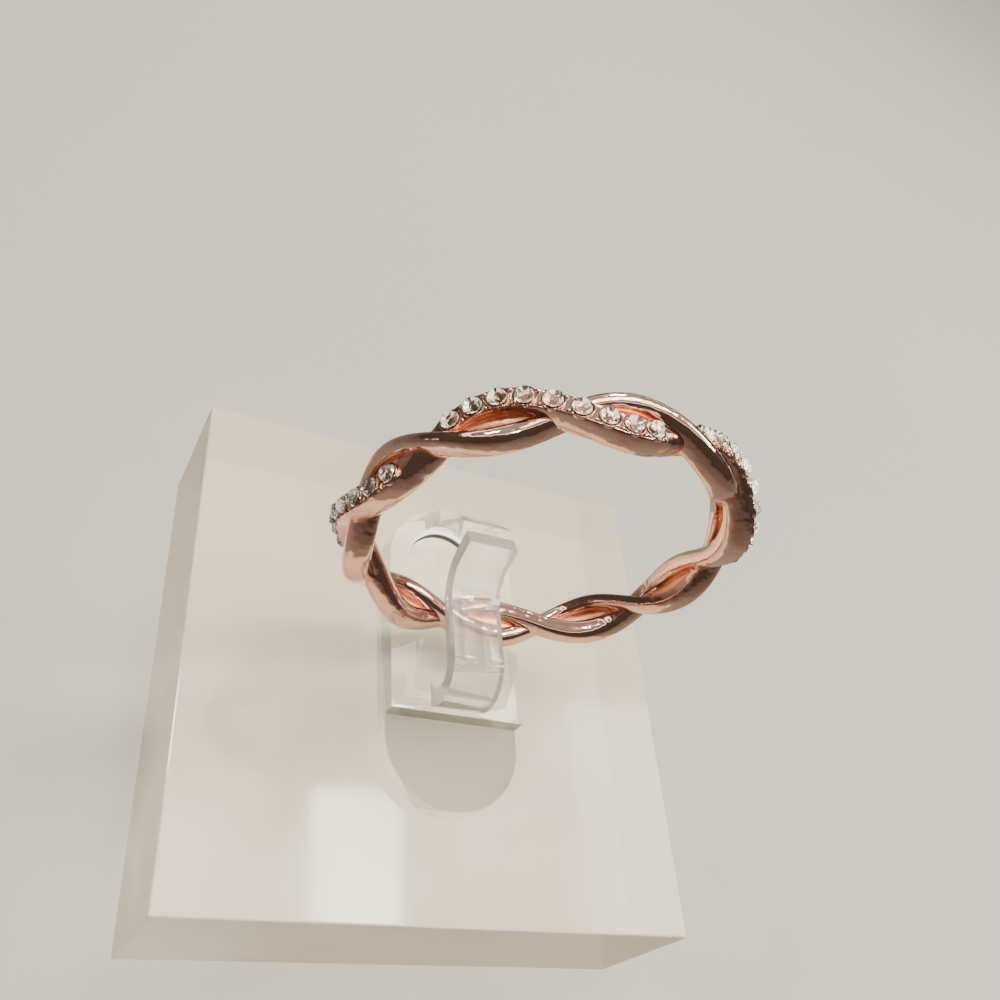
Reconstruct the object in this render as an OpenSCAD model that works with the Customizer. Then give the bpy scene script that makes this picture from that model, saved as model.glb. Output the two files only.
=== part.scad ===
// Twist ring held upright in a clear spring clip on a clear square block.
// X runs along the block's front edge, Y away from the front, Z up, in millimetres.
// The origin is the middle of the block's underside.

/* [Ring] */
// Distance from the ring's middle to the middle of the twist
twist_radius = 9.56; // [8:0.1:11]
// Number of full turns that each strand makes round the ring
twist_turns = 5; // [4:1:7]
// How far each strand swings in and out of the twist's middle
swing_out = 0.28; // [0.2:0.02:0.4]
// How far the stone strand swings towards each side of the ring
stone_swing = 0.82; // [0.7:0.02:0.86]
// How far the plain strand swings towards each side of the ring
plain_swing = 0.86; // [0.7:0.02:0.94]
// Width of the stone strand across the ring's side
stone_width = 1.14; // [1.1:0.02:1.4]
// Width of the plain strand across the ring's side
plain_width = 0.94; // [0.8:0.02:1.3]
// Depth of one strand from the finger side to the outside
strand_depth = 1.44; // [1.3:0.02:1.7]
// Thickness of the recessed web that closes the openings between the strands
web_thickness = 0.5; // [0.3:0.02:0.56]
// Turn of the ring in its clip: where the middle row of stones sits, from the top
row_angle = -26; // [-40:1:40]

/* [Stones] */
// Rows of stones, each on one outer stretch of the stone strand
stone_rows = 3; // [1:1:3]
// Stones in each row
stones_per_row = 9; // [5:1:9]
// Angle between neighbouring stones in a row
stone_step = 6.5; // [6.2:0.1:7]
// Diameter of one stone at its girdle
stone_diameter = 0.98; // [0.8:0.02:1]
// How far a stone's table stands above the strand
stone_rise = 0.42; // [0.3:0.02:0.5]
// Thickness of the metal cup's wall round each stone
cup_wall = 0.06; // [0.04:0.01:0.08]

/* [Clip] */
// Thickness of the strip that is bent round the band
strip_thickness = 1; // [0.8:0.1:1.1]
// Width of the strip, across the block
strip_width = 3; // [2:0.5:5]
// How far the strip sits to the left of the foot's middle
strip_left = 0.2; // [0:0.1:1]
// Width of the round-ended foot
foot_width = 8.1; // [7:0.1:12]
// Length of the round-ended foot
foot_length = 18.8; // [18.6:0.2:24]
// Thickness of the foot
foot_thickness = 1.1; // [0.8:0.1:2]
// Thickness of the seat on the foot, which the band stands on
seat_thickness = 1; // [0.6:0.1:1.2]
// Distance from the block's middle back to the ring
ring_back = 1.1; // [0.8:0.1:1.4]

/* [Block] */
// Side of the square block
block_side = 30; // [26:1:50]
// Thickness of the block
block_height = 9; // [5:0.5:20]

/* [Hidden] */
$fn = 64;
// Space kept between a stone and its cup, and between the band and its clip
stone_gap = 0.02;
band_gap = 0.06;
// Turn of the rows of stones from the middle of each outer stretch
row_shift = -1.7;
// Sections along a strand
strand_sections = 125;
// Flat parts of a strand's eight-sided section, on its outer face and on its side
outer_flat = 0.55;
side_flat = 0.54;
// Width of the web, which ends inside both strands
web_width = 0.88;
// How far the cups stand above the strand, and how deep they reach into it
cup_rise = 0.16;
cup_root = 0.5;
cup_sides = 16;
pocket_depth = 0.3;
// Stone heights from the strand's surface, and its crown's widths as parts of its girdle
girdle_rise = 0.1;
culet_depth = 0.26;
table_part = 0.58;
crown_part = 0.85;
crown_height_part = 0.55;
girdle_sides = 16;

stone_radius = stone_diameter / 2;
cup_radius = stone_radius + stone_gap + cup_wall;

stone_count = stone_rows * stones_per_row;
function two_digits(n) = str(n < 10 ? "0" : "", n);

// Twist angle of the stone strand at an angle round the ring; the plain strand is half a turn on
function twist_at(angle) = twist_turns * (angle - row_angle);
function strand_radius(twist) = twist_radius + swing_out * cos(twist);
function strand_side(twist, swing) = -swing * sin(twist);

// Strand's section, outwards and sideways from its middle: a flat cushion with cut corners
SECTION = [
    [1, -outer_flat], [1, outer_flat], [side_flat, 1], [-side_flat, 1],
    [-1, outer_flat], [-1, -outer_flat], [-side_flat, -1], [side_flat, -1]
];

// Point of a strand's section; angle 0 is the top of the ring and grows towards +X
function strand_point(angle, start, swing, width, corner) =
    let (
        twist = twist_at(angle) + start,
        r = strand_radius(twist) + strand_depth / 2 * corner[0],
        side = strand_side(twist, swing) + width / 2 * corner[1]
    )
    [r * sin(angle), side, r * cos(angle)];

// Height of a strand's outer or inner face from the ring's middle, low on the ring
function face_height(angle, start, face) =
    (strand_radius(twist_at(angle) + start) + strand_depth / 2 * face) * cos(angle);

// Heights of the stand from the table up: the ring stands on the seat, the strip lies over the band
foot_top = block_height + foot_thickness;
seat_top = foot_top + seat_thickness;
ring_z = seat_top + band_gap - min([for (angle = [150 : 210], start = [0, 180]) face_height(angle, start, 1)]);
strip_half_angle = asin((strip_width / 2 + strip_left) / (twist_radius - swing_out - strand_depth / 2));
strip_low = ring_z + band_gap
    + max([for (step = [-10 : 10], start = [0, 180])
        face_height(180 + step / 10 * strip_half_angle, start, -1)]);
strip_top = strip_low + strip_thickness;

// Side outline of the strip: front bend, lip, and back jaw
bend_radius = (strip_top - foot_top) / 2;
bend_y = -2.2;
lip_y = 1.1;
lip_inner = 1.9;
lip_tilt = 20;
lip_length = 1.4;
jaw_y = -3.07;
jaw_drop = 3.48;
jaw_radius = 12.7;
jaw_start = 15;
jaw_end = 50;
// Overlap that makes the strip's parts one solid
join = 0.02;

// Closed tube wound once round the ring; its first section lies part of a step on
module strand(start, swing, width, step_part) {
    sides = len(SECTION);
    points = [
        for (i = [0 : strand_sections - 1], corner = SECTION)
            strand_point((i + step_part) * 360 / strand_sections, start, swing, width, corner)
    ];
    function at(i, j) = (i % strand_sections) * sides + j % sides;
    faces = [
        for (i = [0 : strand_sections - 1], j = [0 : sides - 1])
            each [
                [at(i, j), at(i, j + 1), at(i + 1, j + 1)],
                [at(i, j), at(i + 1, j + 1), at(i + 1, j)]
            ]
    ];
    polyhedron(points, faces, convexity = 10);
}

// Thin ring between the strands that closes the openings
module web() {
    rotate([90, 0, 0])
        rotate_extrude($fn = strand_sections)
            translate([twist_radius - web_thickness / 2, -web_width / 2])
                square([web_thickness, web_width]);
}

// Angle of stone i round the ring, counted row by row
function stone_angle(i) =
    let (
        row = floor((i - 1) / stones_per_row),
        place = (i - 1) % stones_per_row
    )
    row_angle + (row - (stone_rows - 1) / 2) * 360 / twist_turns
        + (place - (stones_per_row - 1) / 2) * stone_step + row_shift;

// Places its children on the stone strand's outer face, with Z pointing away from the ring's middle
module on_strand(angle) {
    twist = twist_at(angle);
    rotate([0, angle, 0])
        translate([0, strand_side(twist, stone_swing), strand_radius(twist) + strand_depth / 2])
            children();
}

module at_ring() {
    translate([0, ring_back, ring_z])
        children();
}

// Round metal cup, rooted in the strand
module cup() {
    hull() {
        translate([0, 0, -cup_root])
            cylinder(r = cup_radius, h = cup_root, $fn = cup_sides);
        cylinder(r = cup_radius, h = cup_rise, $fn = cup_sides);
    }
}

// The cast band: a plain strand and a stone strand twisted together, with a web between them
module twist_band() {
    color("#c08070")
        at_ring()
            difference() {
                union() {
                    strand(0, stone_swing, stone_width, 0);
                    strand(180, plain_swing, plain_width, 0.5);
                    web();
                    for (i = [1 : stone_count])
                        on_strand(stone_angle(i))
                            cup();
                }
                for (i = [1 : stone_count])
                    on_strand(stone_angle(i))
                        translate([0, 0, -pocket_depth])
                            cylinder(r = stone_radius + stone_gap, h = pocket_depth + 1, $fn = cup_sides);
            }
}

// Points on a circle at one height, for the stone's facets
function level(count, first, r, z) =
    [for (k = [0 : count - 1]) [r * cos(first + k * 360 / count), r * sin(first + k * 360 / count), z]];

// Round cut stone: a table, stars and kites above the girdle, and a cone of facets below
module cut_stone() {
    crown_z = girdle_rise + (stone_rise - girdle_rise) * crown_height_part;
    kites = girdle_sides / 2;
    points = concat(
        level(kites, 0, stone_radius * table_part, stone_rise),
        level(kites, 180 / kites, stone_radius * crown_part, crown_z),
        level(girdle_sides, 0, stone_radius, girdle_rise),
        [[0, 0, -culet_depth]]
    );
    hull()
        polyhedron(points, [for (k = [0 : len(points) - 3]) [k, k + 1, k + 2]]);
}

module stone(i) {
    color("#e8e6e0")
        at_ring()
            on_strand(stone_angle(i))
                cut_stone();
}

// Curved part of the strip's side outline, between two angles round its middle
module bend(r_out, from, to) {
    steps = ceil(abs(to - from) / 30);
    reach = r_out * 1.5;
    function ray(k) = let (angle = from + k * (to - from) / steps) reach * [cos(angle), sin(angle)];
    intersection() {
        difference() {
            circle(r = r_out);
            circle(r = r_out - strip_thickness);
        }
        polygon(concat([[0, 0]], [for (k = [0 : steps]) ray(k)]));
    }
}

// Side outline of the strip, across the ring's band
module strip_outline() {
    translate([bend_y, foot_top + bend_radius])
        bend(bend_radius, 90, 270);
    translate([bend_y - join, strip_low])
        square([lip_y - bend_y + 2 * join, strip_thickness]);
    translate([lip_y, strip_top + lip_inner]) {
        bend(lip_inner + strip_thickness, -90, -lip_tilt);
        rotate(-lip_tilt)
            translate([lip_inner, -join])
                square([strip_thickness, lip_length + join]);
    }
    translate([jaw_y, foot_top - jaw_drop])
        bend(jaw_radius, jaw_start, jaw_end);
}

// Round-ended plan of the foot
module foot_plan() {
    straight = (foot_length - foot_width) / 2;
    square([foot_width, straight * 2], center = true);
    for (side = [-1, 1])
        translate([0, side * straight])
            circle(d = foot_width);
}

// Clear spring clip: the foot, the seat under the band, and the strip bent over the band
module ring_clip() {
    color("#e6efec", 0.35)
        union() {
            translate([0, 0, block_height])
                linear_extrude(foot_thickness)
                    foot_plan();
            translate([0, 0, block_height])
                linear_extrude(foot_thickness + seat_thickness)
                    intersection() {
                        foot_plan();
                        translate([-foot_width / 2, bend_y - bend_radius])
                            square([foot_width, foot_length]);
                    }
            rotate([90, 0, 90])
                translate([0, 0, -strip_width / 2 - strip_left])
                    linear_extrude(strip_width)
                        strip_outline();
        }
}

// Clear square block that the clip is glued to
module display_block() {
    color("#e9e9e4", 0.35)
        translate([-block_side / 2, -block_side / 2, 0])
            cube([block_side, block_side, block_height]);
}

twist_band();
ring_clip();
display_block();
for (i = [1 : stone_count])
    stone(i);
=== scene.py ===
"""Looks for the twist ring on its clear clip stand, in metres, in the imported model's frame."""
import math

import bmesh
import bpy
from mathutils import Euler, Matrix, Vector


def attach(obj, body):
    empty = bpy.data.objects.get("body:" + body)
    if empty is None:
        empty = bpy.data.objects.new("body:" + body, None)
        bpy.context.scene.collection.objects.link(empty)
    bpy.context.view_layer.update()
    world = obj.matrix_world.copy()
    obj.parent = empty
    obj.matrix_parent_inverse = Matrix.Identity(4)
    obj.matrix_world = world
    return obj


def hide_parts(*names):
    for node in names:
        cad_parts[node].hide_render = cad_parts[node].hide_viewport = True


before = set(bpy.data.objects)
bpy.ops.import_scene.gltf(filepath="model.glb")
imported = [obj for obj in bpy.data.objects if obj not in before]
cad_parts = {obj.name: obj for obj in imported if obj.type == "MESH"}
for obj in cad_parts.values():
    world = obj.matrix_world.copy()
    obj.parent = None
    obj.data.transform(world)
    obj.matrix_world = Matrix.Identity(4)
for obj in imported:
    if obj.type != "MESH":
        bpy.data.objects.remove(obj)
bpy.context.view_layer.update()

MM = 0.001

# The ring, with the same sizes as its solids: radii, swings and strand sizes in millimetres
RING = Vector((0.0, 1.1, 21.6569))
TWIST_RADIUS = 9.56
TURNS = 5
SWING_OUT = 0.28
STONE_SWING = 0.82
PLAIN_SWING = 0.86
STRAND_DEPTH = 1.44
STONE_WIDTH = 1.22
PLAIN_WIDTH = 0.96
WEB_THICKNESS = 0.5
WEB_WIDTH = 0.88
ROW_ANGLE = -26.0
SECTIONS = 720

# Rows of stones on the stone strand, with angles in degrees round the ring
ROWS = 3
PER_ROW = 9
STEP = 6.5
ROW_SHIFT = -1.7
# The strand's change to the plain section starts and ends this far past the end of a row
FADE_START = -0.5
FADE_END = 5.0

# One stone: radius, parts of it at the table and crown, and heights over the strand, in millimetres
STONE_R = 0.455
TABLE_PART = 0.58
CROWN_PART = 0.85
STONE_RISE = 0.4
CROWN_Z = 0.26
GIRDLE_TOP = 0.105
GIRDLE_LOW = 0.08
TIP_Z = -0.12
# Turn from each stone to the next about its own axis, in degrees
STONE_TURN = 37.0
# Steps of the facets' painted shade and painted flashes from facet to facet, which spread them evenly, and
# from stone to stone
TONE_STEP = 0.618034
LIGHT_STEP = 0.381966
LIGHT_SHIFT = 0.27

# Half outline of the strand's section where stones sit, outward and sideways, from outer to inner middle
CHANNEL = ((0.95, 0.0), (0.95, 0.35), (0.95, 0.68), (0.955, 0.76), (0.985, 0.785), (0.995, 0.8), (1.0, 0.825),
           (0.985, 0.855), (0.93, 0.895), (0.8, 0.94), (0.56, 0.98), (0.2, 1.0), (-0.2, 0.99), (-0.55, 0.93),
           (-0.82, 0.77), (-0.96, 0.45), (-1.0, 0.0))
# Squareness of the plain section on its outer and on its finger side
OUTER_ROUND = 2.4
INNER_ROUND = 2.9

# Outline of a stone's cup: radius and height over the strand
CUP = ((0.57, -0.12), (0.57, 0.0), (0.567, 0.04), (0.557, 0.062), (0.542, 0.068), (0.527, 0.064),
       (0.516, 0.05), (0.51, 0.0), (0.45, -0.12), (0.0, -0.33))
CUP_STEPS = 40
# The cup's wall is painted dark from this point of its outline inwards, as painted shade in the recess round
# the stone
CUP_SHADE_ROW = 4
# Small beads between the cups: outline, distance from the row's middle line and depth in the strand
BEAD = ((0.12, -0.12), (0.12, 0.0), (0.104, 0.06), (0.06, 0.104), (0.0, 0.12))
BEAD_STEPS = 16
BEAD_SIDE = 0.38
BEAD_DROP = 0.02

# Roundings of the clear pieces' sharp edges: radius in millimetres and number of steps
CLIP_ROUNDING = (0.16, 3)
BLOCK_ROUNDING = (0.1, 2)
SHARP_ANGLE = math.radians(25.0)
FLAT_ANGLE = math.radians(1.0)
JOIN_DISTANCE = 0.001 * MM

# Where the clip's edges, lip, step and foot are, in millimetres, and the material index of each; the edge,
# step and foot materials are darker copies of the clear plastic, as painted shade
EDGE_ABOVE = 11.2
EDGE_BEFORE = 4.5
LIP_ABOVE = 16.5
STEP_HEIGHTS = (10.2, 11.0)
STEP_BEHIND = -5.0
FOOT_BELOW = 10.2
CLEAR_LOOK, EDGE_SHADE_LOOK, STEP_SHADE_LOOK, FOOT_SHADE_LOOK = 0, 1, 2, 3

# Low moulded rim on the seat behind the band, with a painted highlight along its top and painted shade on its
# near side: sizes in millimetres, ends in degrees
RIM_MIDDLE = Vector((-0.76, 5.24, 11.1))
RIM_RADIUS = 2.27
RIM_HALF = 0.22
RIM_RISE = 0.42
RIM_ROOT = 0.02
RIM_ENDS = (30.0, 176.0)
RIM_STEPS = 64
RIM_THINNEST = 0.1
# Points across the rim, as parts of its half width and rise; its near side, which gets painted shade, lies
# between the last two
RIM_OUTLINE = ((1.0, 0.0), (0.8, 0.85), (0.0, 1.0), (-0.8, 0.85), (-1.0, 0.0))
RIM_SHADED_SIDE = 3


def signed_power(value, power):
    return math.copysign(abs(value) ** power, value)


def smooth(low, high, value):
    t = min(1.0, max(0.0, (value - low) / (high - low)))
    return t * t * (3.0 - 2.0 * t)


def twist_at(angle):
    """Turn of the strands about each other at an angle round the ring."""
    return math.radians(TURNS * (angle - ROW_ANGLE))


def row_middle(row):
    """Angle round the ring of the outermost place of the stretch that carries a row of stones."""
    return ROW_ANGLE + (row - (ROWS - 1) / 2) * 360.0 / TURNS


def stone_angles():
    """Angle round the ring of each stone, row by row."""
    found = []
    for row in range(ROWS):
        for place in range(PER_ROW):
            found.append(row_middle(row) + (place - (PER_ROW - 1) / 2) * STEP + ROW_SHIFT)
    return found


def in_row(angle):
    """1 along a row of stones, falling to 0 just past its last stones."""
    best = 0.0
    end = PER_ROW / 2 * STEP
    for row in range(ROWS):
        away = abs((angle - row_middle(row) - ROW_SHIFT + 180.0) % 360.0 - 180.0)
        best = max(best, 1.0 - smooth(end + FADE_START, end + FADE_END, away))
    return best


def ring_point(angle, radius, side):
    """Point of the row frame, in metres, at an angle round the ring from the top."""
    a = math.radians(angle)
    return (RING + Vector((radius * math.sin(a), side, radius * math.cos(a)))) * MM


def new_object(name, verts, faces, materials, smooth_faces=True):
    mesh = bpy.data.meshes.new(name)
    mesh.from_pydata([tuple(v) for v in verts], [], faces)
    mesh.validate()
    for m in materials:
        mesh.materials.append(m)
    if smooth_faces:
        mesh.polygons.foreach_set("use_smooth", [True] * len(mesh.polygons))
    mesh.update()
    obj = bpy.data.objects.new(name, mesh)
    bpy.context.scene.collection.objects.link(obj)
    return obj


# Materials

# Noise scales of the surfaces, in waves a metre
COLOUR_DRIFT = 900.0
POLISH_MARKS = 6000.0
GLASS_HAZE = 5000.0
FOIL_DRIFT = 3000.0
PLASTIC_HAZE = 260.0
FLOOR_DRIFT = 6.0
# How strongly the clear materials bend light
GLASS_IOR = 1.62
ACRYLIC_IOR = 1.49


def rgb(red, green, blue):
    return (red, green, blue, 1)


def level(value):
    return rgb(value, value, value)


def new_material(name):
    mat = bpy.data.materials.new(name)
    mat.use_nodes = True
    nodes, links = mat.node_tree.nodes, mat.node_tree.links
    return mat, nodes, links, nodes["Principled BSDF"]


def add_noise(nodes, links, scale, detail=2.0):
    coord = nodes.new("ShaderNodeTexCoord")
    noise = nodes.new("ShaderNodeTexNoise")
    noise.inputs["Scale"].default_value = scale
    noise.inputs["Detail"].default_value = detail
    links.new(coord.outputs["Object"], noise.inputs["Vector"])
    return noise.outputs["Fac"]


def add_ramp(nodes, links, source, low, high, first, last):
    ramp = nodes.new("ShaderNodeValToRGB")
    ramp.color_ramp.elements[0].position = low
    ramp.color_ramp.elements[1].position = high
    ramp.color_ramp.elements[0].color = first
    ramp.color_ramp.elements[1].color = last
    links.new(source, ramp.inputs["Fac"])
    return ramp


def add_attribute(nodes, name):
    attribute = nodes.new("ShaderNodeAttribute")
    attribute.attribute_name = name
    return attribute.outputs["Fac"]


def mix_shaders(nodes, links, share, first, second):
    """Shader output with a share of the second shader; the share is a number or another node's output."""
    mixed = nodes.new("ShaderNodeMixShader")
    if isinstance(share, float):
        mixed.inputs["Fac"].default_value = share
    else:
        links.new(share, mixed.inputs["Fac"])
    links.new(first, mixed.inputs[1])
    links.new(second, mixed.inputs[2])
    return mixed.outputs["Shader"]


def add_diffuse(nodes, tint):
    diffuse = nodes.new("ShaderNodeBsdfDiffuse")
    diffuse.inputs["Color"].default_value = tint
    return diffuse.outputs["BSDF"]


def set_surface(nodes, links, shader):
    links.new(shader, nodes["Material Output"].inputs["Surface"])


def rose_metal(name, first, last, smoothest, roughest, uneven_scale, uneven_depth):
    """Rose plating: slow colour drift, fine polishing marks and a slightly uneven cast surface."""
    mat, nodes, links, shader = new_material(name)
    shader.inputs["Metallic"].default_value = 1.0
    drift = add_noise(nodes, links, COLOUR_DRIFT)
    tint = add_ramp(nodes, links, drift, 0.35, 0.65, first, last)
    links.new(tint.outputs["Color"], shader.inputs["Base Color"])
    marks = add_noise(nodes, links, POLISH_MARKS, 4.0)
    polish = add_ramp(nodes, links, marks, 0.3, 0.7, level(smoothest), level(roughest))
    links.new(polish.outputs["Color"], shader.inputs["Roughness"])
    bump = nodes.new("ShaderNodeBump")
    bump.inputs["Strength"].default_value = 0.25
    bump.inputs["Distance"].default_value = uneven_depth
    links.new(add_noise(nodes, links, uneven_scale, 1.0), bump.inputs["Height"])
    links.new(bump.outputs["Normal"], shader.inputs["Normal"])
    return mat


def let_light_through(nodes, links, surface, tint):
    """Clear surface that casts only a faint shadow, so what lies behind it is lit."""
    path = nodes.new("ShaderNodeLightPath")
    through = nodes.new("ShaderNodeBsdfTransparent")
    through.inputs["Color"].default_value = tint
    set_surface(nodes, links, mix_shaders(nodes, links, path.outputs["Is Shadow Ray"], surface,
                                          through.outputs["BSDF"]))


def crown_glass(name, tint):
    """Clear lead glass of the stones' tops; the edge facets show the dark cup, so they get a darker tint as
    painted shade.
    """
    mat, nodes, links, shader = new_material(name)
    shader.inputs["Base Color"].default_value = tint
    shader.inputs["Transmission Weight"].default_value = 1.0
    shader.inputs["IOR"].default_value = GLASS_IOR
    haze = add_noise(nodes, links, GLASS_HAZE)
    rough = add_ramp(nodes, links, haze, 0.4, 0.8, level(0.0), level(0.05))
    links.new(rough.outputs["Color"], shader.inputs["Roughness"])
    let_light_through(nodes, links, shader.outputs["BSDF"], rgb(0.95, 0.95, 0.94))
    return mat


def foil_back():
    """Silvered underside of the stones: some facets mirror and others are pale, as painted flashes of cut
    facets; a darker tone on some facets is painted shade.
    """
    mat, nodes, links, shader = new_material("stone_foil")
    shader.inputs["Metallic"].default_value = 1.0
    drift = add_noise(nodes, links, FOIL_DRIFT)
    tint = add_ramp(nodes, links, drift, 0.3, 0.7, rgb(0.9, 0.87, 0.8), rgb(0.97, 0.95, 0.89))
    facet = add_attribute(nodes, "facet_painted_shade")
    # Painted shade: some facets are darkened
    shade = add_ramp(nodes, links, facet, 0.25, 0.5, rgb(0.16, 0.16, 0.135), level(1.0))
    toned = nodes.new("ShaderNodeMix")
    toned.data_type = "RGBA"
    toned.blend_type = "MULTIPLY"
    toned.inputs["Factor"].default_value = 1.0
    links.new(tint.outputs["Color"], toned.inputs[6])
    links.new(shade.outputs["Color"], toned.inputs[7])
    links.new(toned.outputs[2], shader.inputs["Base Color"])
    shader.inputs["Roughness"].default_value = 0.12
    bright = add_attribute(nodes, "facet_painted_flash")
    # Painted flash: a pale matt share on some facets
    share = add_ramp(nodes, links, bright, 0.5, 0.58, level(0.03), level(0.88))
    pale = add_diffuse(nodes, rgb(0.98, 0.94, 0.85))
    set_surface(nodes, links, mix_shaders(nodes, links, share.outputs["Color"], shader.outputs["BSDF"], pale))
    return mat


def clear_plastic(name, tint, milk, milk_tint, roughness):
    """Clear acrylic that lets light through to what lies under it, with a share of milky body."""
    mat, nodes, links, shader = new_material(name)
    shader.inputs["Base Color"].default_value = tint
    shader.inputs["Transmission Weight"].default_value = 1.0
    shader.inputs["IOR"].default_value = ACRYLIC_IOR
    haze = add_noise(nodes, links, PLASTIC_HAZE)
    rough = add_ramp(nodes, links, haze, 0.4, 0.7, level(roughness), level(roughness * 2))
    links.new(rough.outputs["Color"], shader.inputs["Roughness"])
    body = mix_shaders(nodes, links, milk, shader.outputs["BSDF"], add_diffuse(nodes, milk_tint))
    let_light_through(nodes, links, body, rgb(0.85, 0.85, 0.84))
    return mat


ROSE = rose_metal("rose_metal", rgb(0.74, 0.43, 0.32), rgb(0.8, 0.49, 0.37), 0.06, 0.16, 1900.0, 0.00013)
# Rose metal of the web between the strands, made deeper orange as painted light bounced between the copper
# strands
WEB_PAINTED_BOUNCE = rose_metal("rose_web_painted_bounce", rgb(0.88, 0.36, 0.2), rgb(0.95, 0.44, 0.26), 0.3, 0.45, 5000.0, 0.0001)
# Dark copy of the rose metal for the cups' inner walls: painted shade in the recess round each stone
PAINTED_CUP_SHADE = rose_metal("rose_cup_painted_shade", rgb(0.1, 0.065, 0.045), rgb(0.17, 0.105, 0.075), 0.35, 0.5, 3000.0,
                       0.00004)
CROWN = crown_glass("stone_crown", rgb(0.97, 0.98, 0.96))
# Darker copy of the crown glass for the edge facets: painted shade
SHADED_CROWN_GLASS = crown_glass("stone_crown_painted_shade", rgb(0.6, 0.57, 0.49))
FOIL = foil_back()
CLIP_CLEAR = clear_plastic("clear_clip", rgb(0.9, 0.91, 0.9), 0.06, rgb(0.8, 0.8, 0.76), 0.045)
# Darker copies of the clip's plastic for its side faces, lip end, step wall and foot top: painted shade
CLIP_SIDE_SHADE = clear_plastic("clear_clip_side_painted_shade", rgb(0.8, 0.79, 0.76), 0.4, rgb(0.5, 0.47, 0.43), 0.12)
STEP_WALL_SHADE = clear_plastic("clear_step_wall_painted_shade", rgb(0.55, 0.54, 0.5), 0.5, rgb(0.2, 0.19, 0.17), 0.15)
FOOT_TOP_SHADE = clear_plastic("clear_foot_top_painted_shade", rgb(0.8, 0.79, 0.77), 0.62, rgb(0.14, 0.13, 0.116), 0.45)
# Near-white and near-black copies of the clear plastic for the rim: painted highlight and painted shade
RIM_PAINTED_HIGHLIGHT = clear_plastic("clear_rim_painted_highlight", rgb(0.96, 0.96, 0.94), 0.95, rgb(0.97, 0.97, 0.95), 0.3)
RIM_PAINTED_SHADE = clear_plastic("clear_rim_painted_shade", rgb(0.3, 0.28, 0.26), 0.9, rgb(0.05, 0.045, 0.04), 0.3)
BLOCK_CLEAR = clear_plastic("clear_block", rgb(0.96, 0.95, 0.91), 0.5, rgb(0.68, 0.61, 0.51), 0.062)


# The band

def plain_half(count):
    """Half outline of the plain section: rounded outside and flatter on the finger side."""
    half = []
    for k in range(count):
        t = math.pi * k / (count - 1)
        power = 2.0 / (OUTER_ROUND if t < math.pi / 2 else INNER_ROUND)
        half.append((signed_power(math.cos(t), power), abs(math.sin(t)) ** power))
    half[0], half[-1] = (1.0, 0.0), (-1.0, 0.0)
    return half


PLAIN = plain_half(len(CHANNEL))


def section(channel):
    """Closed outline of a strand's section; channel is 1 where stones sit and 0 where it is plain."""
    half = [(a * channel + c * (1 - channel), b * channel + d * (1 - channel))
            for (a, b), (c, d) in zip(CHANNEL, PLAIN)]
    return half + [(out, -side) for out, side in reversed(half[1:-1])]


def tube_faces(count):
    """Faces between the sections of a closed tube round the ring, with a count of points in each section."""
    faces = []
    for i in range(SECTIONS):
        a, b = i * count, (i + 1) % SECTIONS * count
        for j in range(count):
            k = (j + 1) % count
            faces.append((a + j, a + k, b + k, b + j))
    return faces


def strand(name, start, swing, width, channel_at):
    """Closed tube wound round the ring, as its solid is."""
    verts = []
    for i in range(SECTIONS):
        angle = i * 360.0 / SECTIONS
        twist = twist_at(angle) + start
        radius = TWIST_RADIUS + SWING_OUT * math.cos(twist)
        side = -swing * math.sin(twist)
        outline = section(channel_at(angle))
        for out, across in outline:
            verts.append(ring_point(angle, radius + STRAND_DEPTH / 2 * out, side + width / 2 * across))
    return new_object(name, verts, tube_faces(len(outline)), [ROSE])


def web():
    """Recessed ring between the strands that closes the openings, with edges inside both."""
    out, side = WEB_THICKNESS / 2, WEB_WIDTH / 2
    corners = ((out, -side), (out, 0.0), (out, side), (-out, side), (-out, 0.0), (-out, -side))
    verts = []
    for i in range(SECTIONS):
        for rise, across in corners:
            verts.append(ring_point(i * 360.0 / SECTIONS, TWIST_RADIUS + rise, across))
    # The web's deeper orange is painted bounce light
    return new_object("strand_web", verts, tube_faces(len(corners)), [WEB_PAINTED_BOUNCE])


def seat_matrix(angle):
    """Place on the stone strand's outer face, with Z away from the ring's middle and X along the ring."""
    twist = twist_at(angle)
    radius = TWIST_RADIUS + SWING_OUT * math.cos(twist) + STRAND_DEPTH / 2
    a = math.radians(angle)
    outward = Vector((math.sin(a), 0.0, math.cos(a)))
    sideways = Vector((0.0, 1.0, 0.0))
    along = sideways.cross(outward)
    turn = Matrix((along, sideways, outward)).transposed().to_4x4()
    return Matrix.Translation(ring_point(angle, radius, -STONE_SWING * math.sin(twist))) @ turn


def lathe(profile, steps, place, verts, faces):
    """Adds a profile of radius and height, turned about the place's Z and closed on that axis."""
    first = len(verts)
    for radius, height in profile[:-1]:
        for k in range(steps):
            t = 2.0 * math.pi * k / steps
            verts.append(place @ (Vector((radius * math.cos(t), radius * math.sin(t), height)) * MM))
    verts.append(place @ (Vector((0.0, 0.0, profile[-1][1])) * MM))
    last = len(verts) - 1
    rows = len(profile) - 1
    for r in range(rows - 1):
        for k in range(steps):
            a, b = first + r * steps + k, first + r * steps + (k + 1) % steps
            faces.append((a, b, b + steps, a + steps))
    inner = first + (rows - 1) * steps
    for k in range(steps):
        faces.append((inner + k, inner + (k + 1) % steps, last))


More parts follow.
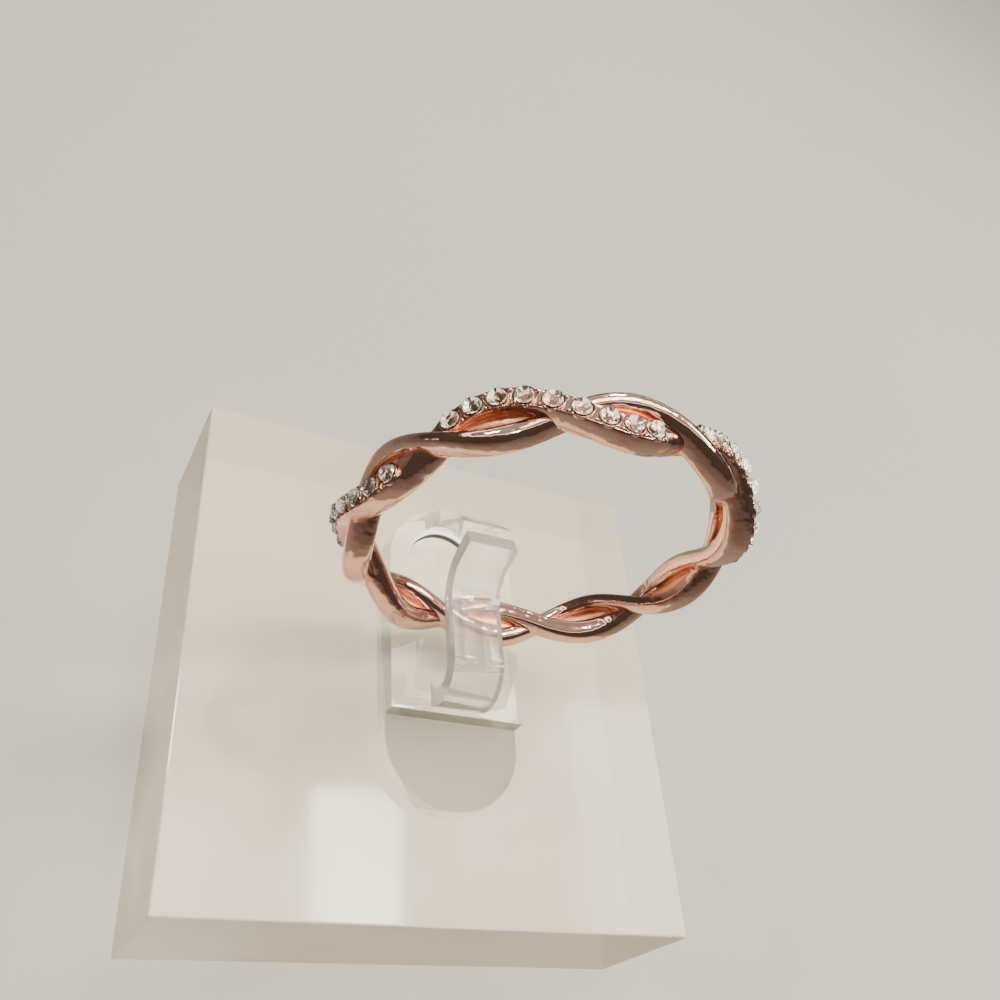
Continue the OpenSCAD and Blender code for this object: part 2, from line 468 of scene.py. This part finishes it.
def stone_cups(angles):
    """The cups round the stones, and the beads between neighbouring cups, as one mesh."""
    verts, faces, inside = [], [], []
    for angle in angles:
        first = len(faces)
        lathe(CUP, CUP_STEPS, seat_matrix(angle), verts, faces)
        # Faces of the cup's inner wall, which get the painted shade
        inside.extend(range(first + CUP_SHADE_ROW * CUP_STEPS, len(faces)))
    for row in range(ROWS):
        for place in range(PER_ROW - 1):
            one = row * PER_ROW + place
            between = (angles[one] + angles[one + 1]) / 2
            for side in (-1, 1):
                shift = Vector((0.0, side * BEAD_SIDE, -BEAD_DROP)) * MM
                lathe(BEAD, BEAD_STEPS, seat_matrix(between) @ Matrix.Translation(shift), verts, faces)
    obj = new_object("stone_cups", verts, faces, [ROSE, PAINTED_CUP_SHADE])
    for index in inside:
        obj.data.polygons[index].material_index = 1
    return obj


def brilliant(name, place, seed):
    """Round cut stone: table, star, kite and upper facets in glass, and a foiled cone of facets below."""
    points = []
    for count, first, radius, height in ((8, 0.0, STONE_R * TABLE_PART, STONE_RISE),
                                         (8, 22.5, STONE_R * CROWN_PART, CROWN_Z),
                                         (16, 0.0, STONE_R, GIRDLE_TOP), (16, 0.0, STONE_R, GIRDLE_LOW)):
        for k in range(count):
            t = math.radians(first + k * 360.0 / count)
            points.append(Vector((radius * math.cos(t), radius * math.sin(t), height)))
    points.append(Vector((0.0, 0.0, TIP_Z)))
    table, crown, girdle, under, tip = 0, 8, 16, 32, 48
    glass, foil, edge = 0, 1, 2
    faces = [tuple(range(8))]
    looks = [glass]
    for k in range(8):
        n = (k + 1) % 8
        p = (k - 1) % 8
        faces.append((table + k, crown + k, table + n))
        faces.append((table + k, crown + p, girdle + 2 * k, crown + k))
        faces.append((crown + k, girdle + 2 * k, girdle + 2 * k + 1))
        faces.append((crown + k, girdle + 2 * k + 1, girdle + (2 * k + 2) % 16))
        looks.extend((glass, glass, edge, edge))
    for k in range(16):
        n = (k + 1) % 16
        faces.append((girdle + k, under + k, under + n, girdle + n))
        faces.append((under + k, tip, under + n))
        looks.extend((foil, foil))
    obj = new_object(name, [place @ (v * MM) for v in points], faces, [CROWN, FOIL, SHADED_CROWN_GLASS],
                     smooth_faces=False)
    facet_painted_shade = obj.data.attributes.new("facet_painted_shade", "FLOAT", "FACE")
    facet_painted_flash = obj.data.attributes.new("facet_painted_flash", "FLOAT", "FACE")
    for polygon in obj.data.polygons:
        polygon.material_index = looks[polygon.index]
        facet_painted_shade.data[polygon.index].value = (polygon.index * TONE_STEP * seed) % 1.0
        facet_painted_flash.data[polygon.index].value = (polygon.index * LIGHT_STEP + LIGHT_SHIFT * seed) % 1.0
    return obj


plain_strand = strand("plain_strand", math.pi, PLAIN_SWING, PLAIN_WIDTH, lambda angle: 0.0)
stone_strand = strand("stone_strand", 0.0, STONE_SWING, STONE_WIDTH, in_row)
strand_web = web()
ANGLES = stone_angles()
cups = stone_cups(ANGLES)
for piece in (plain_strand, stone_strand, strand_web, cups):
    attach(piece, "root")
    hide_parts("twist_band")

for i, angle in enumerate(ANGLES, start=1):
    turned = seat_matrix(angle) @ Matrix.Rotation(math.radians(STONE_TURN * i), 4, "Z")
    stone = brilliant(f"cut_stone_{i:02d}", turned, i)
    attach(stone, "root")
    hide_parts(f"stone_{i:02d}")


# The clear stand, with the small roundings that its solids leave out

def rounded(name, node, rounding, materials):
    """New piece with the node's own shape and its sharp edges rounded."""
    radius, segments = rounding
    solid = bmesh.new()
    solid.from_mesh(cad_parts[node].data)
    bmesh.ops.remove_doubles(solid, verts=solid.verts, dist=JOIN_DISTANCE)
    bmesh.ops.dissolve_limit(solid, angle_limit=FLAT_ANGLE, verts=solid.verts, edges=solid.edges)
    sharp = [e for e in solid.edges if len(e.link_faces) == 2 and e.calc_face_angle(0.0) > SHARP_ANGLE]
    bmesh.ops.bevel(solid, geom=sharp, offset=radius * MM, offset_type="OFFSET", segments=segments,
                    profile=0.5, affect="EDGES", clamp_overlap=True)
    mesh = bpy.data.meshes.new(name)
    solid.to_mesh(mesh)
    solid.free()
    for m in materials:
        mesh.materials.append(m)
    for polygon in mesh.polygons:
        polygon.material_index = 0
    obj = bpy.data.objects.new(name, mesh)
    bpy.context.scene.collection.objects.link(obj)
    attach(obj, "root")
    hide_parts(node)
    return obj


def clip_look(normal, place):
    """Material index of a face of the clip, whose middle is given in millimetres; side faces, lip end, step
    wall and foot top get painted shade.
    """
    side_face = abs(normal.x) > 0.95 and place.z > EDGE_ABOVE and place.y < EDGE_BEFORE
    lip_end = normal.z > 0.8 and place.z > LIP_ABOVE
    if side_face or lip_end:
        return EDGE_SHADE_LOOK
    if normal.y < -0.9 and STEP_HEIGHTS[0] < place.z < STEP_HEIGHTS[1] and place.y > STEP_BEHIND:
        return STEP_SHADE_LOOK
    if normal.z > 0.9 and place.z < FOOT_BELOW:
        return FOOT_SHADE_LOOK
    return CLEAR_LOOK


def seat_rim():
    """Low arc with a painted highlight on its top and painted shade on its near side; it thins out at its
    ends.
    """
    verts, faces, near = [], [], []
    start, end = RIM_ENDS
    for i in range(RIM_STEPS + 1):
        part = i / RIM_STEPS
        t = math.radians(start + (end - start) * part)
        full = RIM_THINNEST + (1.0 - RIM_THINNEST) * smooth(0.0, 0.1, part) * smooth(0.0, 0.4, 1.0 - part)
        for out, up in RIM_OUTLINE:
            r = RIM_RADIUS + out * RIM_HALF * full
            z = up * RIM_RISE * full - RIM_ROOT
            verts.append((RIM_MIDDLE + Vector((r * math.cos(t), r * math.sin(t), z))) * MM)
    n = len(RIM_OUTLINE)
    for i in range(RIM_STEPS):
        for j in range(n):
            k = (j + 1) % n
            if j == RIM_SHADED_SIDE:
                near.append(len(faces))
            faces.append((i * n + j, (i + 1) * n + j, (i + 1) * n + k, i * n + k))
    faces.append(tuple(range(n)))
    faces.append(tuple(reversed(range(RIM_STEPS * n, RIM_STEPS * n + n))))
    obj = new_object("seat_rim", verts, faces, [RIM_PAINTED_HIGHLIGHT, RIM_PAINTED_SHADE])
    for index in near:
        obj.data.polygons[index].material_index = 1
    return obj


clear_clip = rounded("clear_clip", "ring_clip", CLIP_ROUNDING, [CLIP_CLEAR, CLIP_SIDE_SHADE, STEP_WALL_SHADE, FOOT_TOP_SHADE])
for polygon in clear_clip.data.polygons:
    polygon.use_smooth = True
    polygon.material_index = clip_look(polygon.normal, polygon.center / MM)
rim = seat_rim()
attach(rim, "root")
clear_block = rounded("clear_block", "display_block", BLOCK_ROUNDING, [BLOCK_CLEAR])


# Floor, light and camera

FLOOR_HALF = 1.5
# A hair under the block, so that their faces don't coincide
FLOOR_Z = -0.00003
# Distances from the middle between which the floor's painted mirror image darkens
MIRROR_FADE = (0.015, 0.07)

# The world pales towards one direction; steep steps in its grey tones bound one narrow bright band
SKY_LEAN = (0.0, 0.33, 0.94)
SKY_STRENGTH = 6.0
SKY_STOPS = ((0.54, 0.0147), (0.608, 0.027), (0.615, 1.0), (0.639, 1.0), (0.646, 0.027), (0.68, 0.024),
             (0.73, 0.083))

# Each light: name, place, what it faces, width, depth, power in watts and colour
MIDDLE = (0.0, 0.0, 0.015)
LIGHTS = (("key", (0.29, 0.09, 0.25), MIDDLE, 0.06, 0.06, 0.62, (1.0, 0.95, 0.89)),
          ("window_right", (0.2, 0.08, 0.26), (0.2, 0.08, 0.0), 0.05, 0.1, 0.32, (1.0, 0.95, 0.87)),
          ("window", (0.0905, 0.062, 0.26), (0.0905, 0.062, 0.0), 0.03, 0.046, 0.3, (1.0, 0.97, 0.85)),
          ("left_fill", (-0.3, 0.0, 0.03), MIDDLE, 0.1, 0.04, 0.02, (1.0, 0.97, 0.93)),
          ("overhead", (-0.005, 0.055, 0.3), (-0.005, 0.055, 0.0), 0.16, 0.18, 0.6, (1.0, 0.91, 0.76)))
# Small lights that make the stones glint: places, size, power and colour
SPARKS = ((-0.16, 0.1, 0.22), (0.02, 0.22, 0.2), (0.2, -0.02, 0.2), (-0.05, -0.16, 0.26), (0.02, 0.05, 0.33))
SPARK_SIZE = 0.024
SPARK_POWER = 0.18
SPARK_TINT = (1.0, 0.95, 0.86)

# The camera at the photo's viewing angle: place in millimetres, turn in degrees, sensor and lens
CAMERA_PLACE = Vector((-23.54, -26.27, 57.2))
CAMERA_TURN = (37.415, -27.726, -4.688)
SENSOR_WIDTH = 36.0
LENS = 35.474


def floor_material():
    """Pale matt floor; polished surfaces mirror it darker, as a painted reflection, the more so away from the
    block.
    """
    mat, nodes, links, shader = new_material("pale_floor")
    drift = add_noise(nodes, links, FLOOR_DRIFT)
    tint = add_ramp(nodes, links, drift, 0.3, 0.7, rgb(0.39, 0.375, 0.345), rgb(0.43, 0.415, 0.385))
    links.new(tint.outputs["Color"], shader.inputs["Base Color"])
    shader.inputs["Roughness"].default_value = 0.55
    coord = nodes.new("ShaderNodeTexCoord")
    away = nodes.new("ShaderNodeVectorMath")
    away.operation = "LENGTH"
    links.new(coord.outputs["Object"], away.inputs[0])
    fade = add_ramp(nodes, links, away.outputs["Value"], *MIRROR_FADE, rgb(0.205, 0.197, 0.19),
                    rgb(0.098, 0.092, 0.088))
    # Painted reflection: a darker floor that only polished surfaces see
    painted_reflection = nodes.new("ShaderNodeBsdfDiffuse")
    links.new(fade.outputs["Color"], painted_reflection.inputs["Color"])
    path = nodes.new("ShaderNodeLightPath")
    set_surface(nodes, links, mix_shaders(nodes, links, path.outputs["Is Glossy Ray"], shader.outputs["BSDF"],
                                          painted_reflection.outputs["BSDF"]))
    return mat


def area_light(name, place, target, size_x, size_y, power, tint):
    data = bpy.data.lights.new(name, "AREA")
    data.shape = "RECTANGLE"
    data.size, data.size_y = size_x, size_y
    data.energy = power
    data.color = tint
    obj = bpy.data.objects.new(name, data)
    obj.location = place
    obj.rotation_euler = (Vector(target) - Vector(place)).to_track_quat("-Z", "Y").to_euler()
    bpy.context.scene.collection.objects.link(obj)


def studio_world():
    """Soft studio round the object, with one narrow bright band for the metal's thin highlights."""
    world = bpy.data.worlds.new("studio")
    bpy.context.scene.world = world
    world.use_nodes = True
    nodes, links = world.node_tree.nodes, world.node_tree.links
    coord = nodes.new("ShaderNodeTexCoord")
    lean = nodes.new("ShaderNodeVectorMath")
    lean.operation = "DOT_PRODUCT"
    lean.inputs[1].default_value = SKY_LEAN
    links.new(coord.outputs["Generated"], lean.inputs[0])
    sky = add_ramp(nodes, links, lean.outputs["Value"], 0.35, 0.95, rgb(0.0147, 0.0133, 0.012), level(0.08))
    for stop, tone in SKY_STOPS:
        sky.color_ramp.elements.new(stop).color = level(tone)
    links.new(sky.outputs["Color"], nodes["Background"].inputs["Color"])
    nodes["Background"].inputs["Strength"].default_value = SKY_STRENGTH
    backdrop = nodes.new("ShaderNodeBackground")
    backdrop.inputs["Color"].default_value = rgb(0.44, 0.43, 0.41)
    path = nodes.new("ShaderNodeLightPath")
    seen = mix_shaders(nodes, links, path.outputs["Is Camera Ray"], nodes["Background"].outputs["Background"],
                       backdrop.outputs["Background"])
    links.new(seen, nodes["World Output"].inputs["Surface"])


corners = [(x * FLOOR_HALF, y * FLOOR_HALF, FLOOR_Z) for x, y in ((-1, -1), (1, -1), (1, 1), (-1, 1))]
floor = new_object("floor", corners, [(0, 1, 2, 3)], [floor_material()], smooth_faces=False)

for light in LIGHTS:
    area_light(*light)
for number, place in enumerate(SPARKS, start=1):
    area_light(f"spark_{number}", place, MIDDLE, SPARK_SIZE, SPARK_SIZE, SPARK_POWER, SPARK_TINT)
studio_world()

camera_data = bpy.data.cameras.new("camera")
camera_data.sensor_width = SENSOR_WIDTH
camera_data.lens = LENS
camera_data.clip_start = 0.001
camera = bpy.data.objects.new("camera", camera_data)
camera.location = CAMERA_PLACE * MM
camera.rotation_euler = Euler([math.radians(v) for v in CAMERA_TURN], "XYZ")
bpy.context.scene.collection.objects.link(camera)
bpy.context.scene.camera = camera
